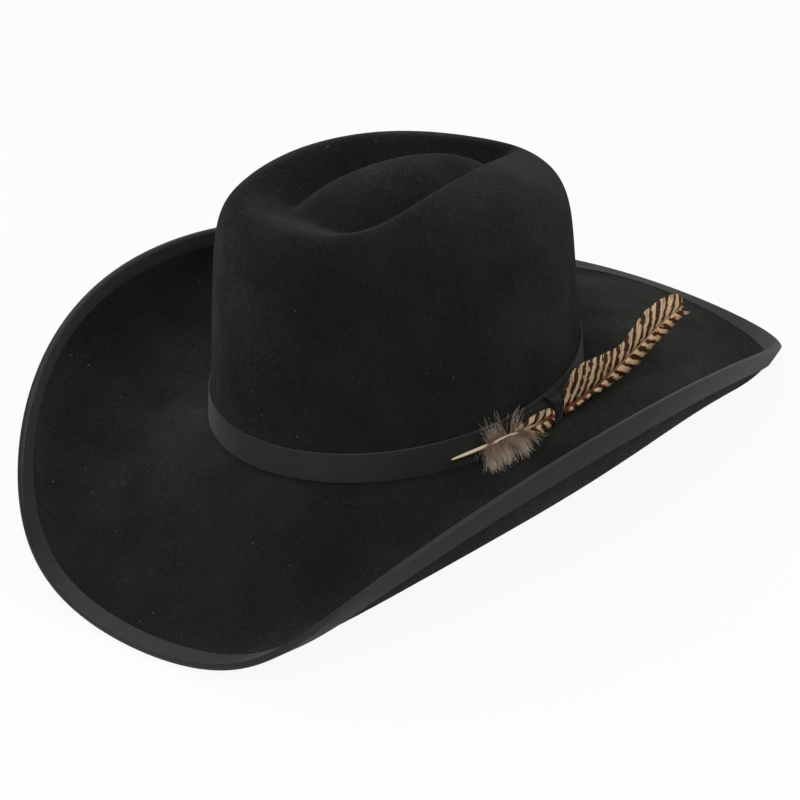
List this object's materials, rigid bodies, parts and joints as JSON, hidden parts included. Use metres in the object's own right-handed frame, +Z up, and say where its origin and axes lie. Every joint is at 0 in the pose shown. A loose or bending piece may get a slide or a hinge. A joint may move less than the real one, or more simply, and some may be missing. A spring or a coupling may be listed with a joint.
{
  "type": "cowboy hat",
  "caption": "Western felt hat: tall crown with a teardrop crease, wide brim rolled up at the sides, bound edge, ribbon band with a bow and a tucked barred feather.",
  "frame": {"origin": "bottom centre of the hat's box, on the surface it stands on", "axes": "+Z up; -Y is the hat's front, +Y its back, +X the wearer's left, where the bow and feather are"},
  "size_m": [0.3276, 0.4044, 0.178],
  "materials": {
    "wool_felt": "brushed fur felt",
    "grosgrain": "ribbed grosgrain ribbon",
    "quill": "horn-like quill",
    "barred_vane": "barred feather vane",
    "down": "loose down",
    "sweat_leather": "smooth leather",
    "satin_ribbon": "satin ribbon",
    "satin": "satin"
  },
  "bodies": {
    "root": {"felt_body": "wool_felt", "brim_binding": "grosgrain", "hatband": "grosgrain", "bow_tail": "grosgrain", "bow_front_loop": "grosgrain", "bow_back_loop": "grosgrain", "bow_knot": "grosgrain", "feather_shaft": "quill", "feather_upper_vane": "barred_vane", "feather_lower_vane": "barred_vane", "feather_front_vanes": "barred_vane", "feather_down": "down", "sweatband": "sweat_leather", "sweatband_reed": "sweat_leather", "sweatband_bow": "satin_ribbon", "lining_side": "satin", "lining_tip": "satin"}
  },
  "joints": []
}
